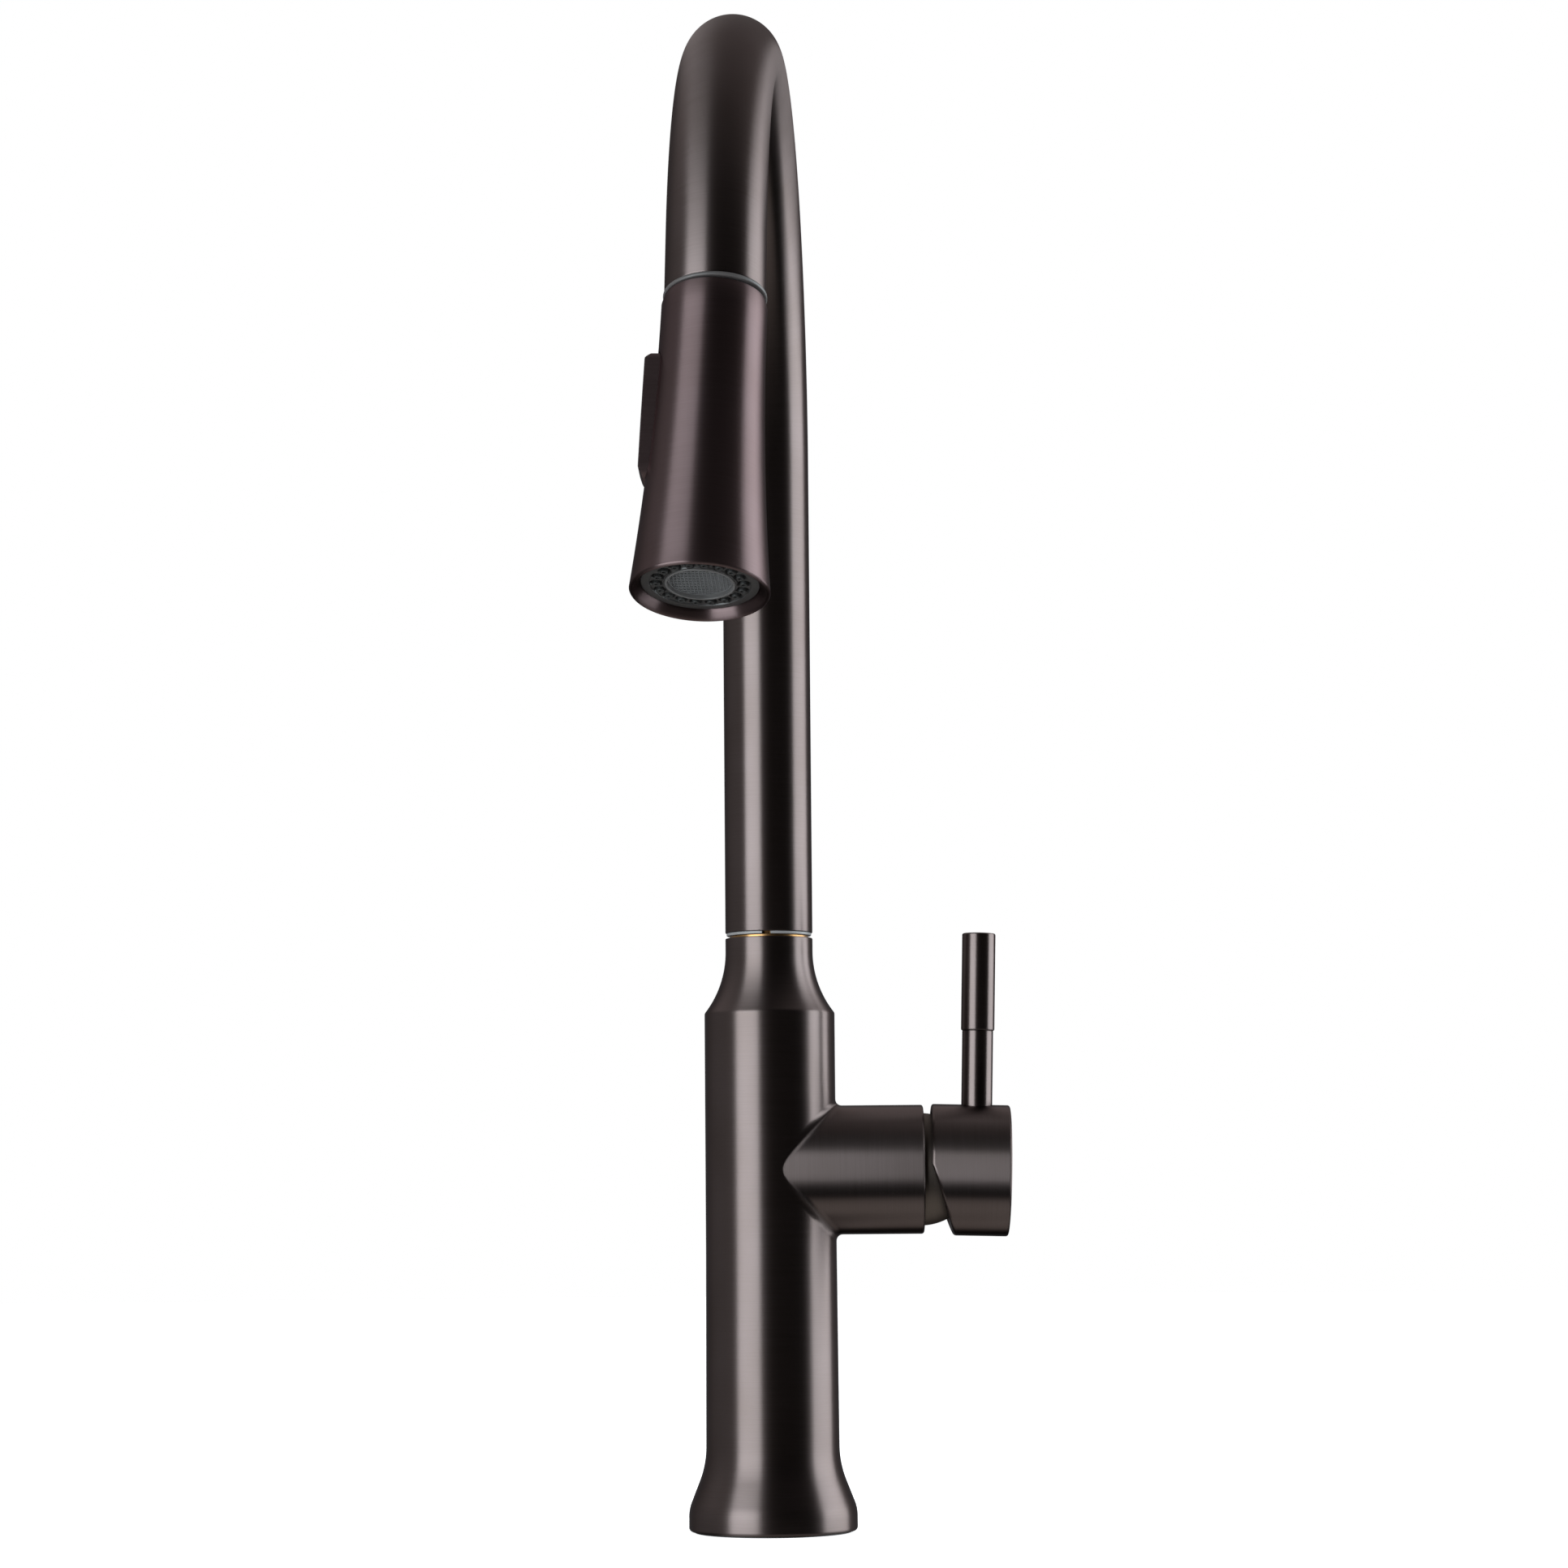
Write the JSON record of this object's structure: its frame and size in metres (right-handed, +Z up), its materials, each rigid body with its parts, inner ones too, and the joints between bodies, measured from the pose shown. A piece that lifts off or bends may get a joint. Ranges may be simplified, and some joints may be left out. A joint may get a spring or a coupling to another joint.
{
  "type": "pull-down kitchen faucet",
  "caption": "Tall gooseneck kitchen faucet with a swivelling spout, a docking pull-down spray head with a rocking button and a side lever mixing valve.",
  "frame": {"origin": "on the body's axis at the deck's top surface", "axes": "+Z up the body, spout towards -Y (swung 3.5 degrees towards -X at rest), valve branch and handle along +X"},
  "size_m": [0.1128, 0.2756, 0.5538],
  "materials": {
    "body_bronze": "oil-rubbed bronze plating over brass, finely brushed",
    "dome_bronze": "satin bronze plating",
    "head_bronze": "ABS plated to match the body, satin",
    "raw_brass": "machined brass",
    "stainless": "turned stainless steel",
    "black_rubber": "matt",
    "black_plastic": "moulded, satin",
    "face_plastic": "moulded, satin",
    "grey_plastic": "moulded acetal",
    "blue_plastic": "moulded acetal",
    "cartridge_plastic": "moulded acetal",
    "grey_gasket": "satin elastomer",
    "aerator_plastic": "moulded acetal",
    "screen_plastic": "moulded acetal",
    "ceramic": "lapped alumina",
    "hose_braid": "braided nylon over rubber"
  },
  "bodies": {
    "body": {"body_casting": "body_bronze", "valve_socket": "body_bronze", "base_gasket": "black_rubber", "shank": "raw_brass", "neck_bush": "raw_brass", "spout_set_screw": "stainless", "cartridge_base": "black_plastic", "port_seals": "black_rubber", "cartridge_housing": "cartridge_plastic", "fixed_disc": "ceramic", "cartridge_nut": "raw_brass", "dome_cap": "dome_bronze", "hose_body_run": "hose_braid", "hose_inlet_fitting": "raw_brass"},
    "mixer": {"rotor": "blue_plastic", "stem_pin": "stainless"},
    "valve_disc": {"moving_disc": "ceramic", "disc_carrier": "blue_plastic"},
    "handle": {"handle_hub": "body_bronze", "lever_rod": "body_bronze", "lever_sleeve": "body_bronze", "valve_stem": "raw_brass", "handle_set_screw": "stainless", "handle_plug": "black_plastic"},
    "spout": {"spout_tube": "body_bronze", "spout_outlet": "body_bronze", "swivel_insert": "raw_brass", "swivel_o_rings": "black_rubber", "slip_ring": "grey_plastic", "dock_collar": "black_plastic", "dock_magnet": "stainless", "dock_gasket": "grey_gasket", "hose_spout_run": "hose_braid"},
    "hose_end": {"hose_ferrule": "stainless", "hose_nipple": "raw_brass", "nipple_o_ring": "black_rubber"},
    "head": {"head_shell": "head_bronze", "head_core": "black_plastic", "strike_ring": "stainless", "face_plate": "face_plastic", "nozzle_mat": "black_rubber", "aerator_ring": "aerator_plastic", "aerator_screen": "screen_plastic", "rocker_pin": "stainless"},
    "button": {"rocker_button": "head_bronze"},
    "diverter": {"diverter_spool": "raw_brass"},
    "nut_stack": {"rubber_washer": "black_rubber", "steel_washer": "stainless", "mounting_nut": "raw_brass", "jack_screws": "stainless"}
  },
  "joints": [
    {"name": "spout_swivel", "type": "hinge", "parent": "body", "child": "spout", "pos_m": [0, 0, 0.191], "axis": [0, 0, 1], "continuous": true},
    {"name": "head_pull", "type": "slide", "parent": "spout", "child": "hose_end", "axis": [-0.0473, -0.2731, -0.9608], "range_m": [0, 0.24]},
    {"name": "head_swivel", "type": "hinge", "parent": "hose_end", "child": "head", "pos_m": [-0.0126, -0.20596, 0.3529], "axis": [-0.0473, -0.2731, -0.9608], "continuous": true},
    {"name": "button_rock", "type": "hinge", "parent": "head", "child": "button", "pos_m": [-0.02568, -0.21568, 0.31629], "axis": [0.0587, 0.9595, -0.2756], "range_deg": [0, 5]},
    {"name": "spool_shift", "type": "slide", "parent": "head", "child": "diverter", "axis": [0.9972, -0.0694, -0.0294], "range_m": [0, 0.000918]},
    {"name": "mixer_turn", "type": "hinge", "parent": "body", "child": "mixer", "pos_m": [0.0483, 0, 0.1146], "axis": [1, 0, 0], "range_deg": [-50, 50]},
    {"name": "lever_lift", "type": "hinge", "parent": "mixer", "child": "handle", "pos_m": [0.0483, 0, 0.1146], "axis": [0, 1, 0], "range_deg": [0, 22]},
    {"name": "disc_shift", "type": "slide", "parent": "mixer", "child": "valve_disc", "axis": [0, 0, 1], "range_m": [0, 0.00573]},
    {"name": "nut_travel", "type": "slide", "parent": "body", "child": "nut_stack", "axis": [0, 0, -1], "range_m": [-0.036, 0.06]}
  ],
  "couplings": [
    {"joint": "spool_shift", "follows": "button_rock", "m_per_rad": 0.0105},
    {"joint": "disc_shift", "follows": "lever_lift", "m_per_rad": 0.014782}
  ]
}
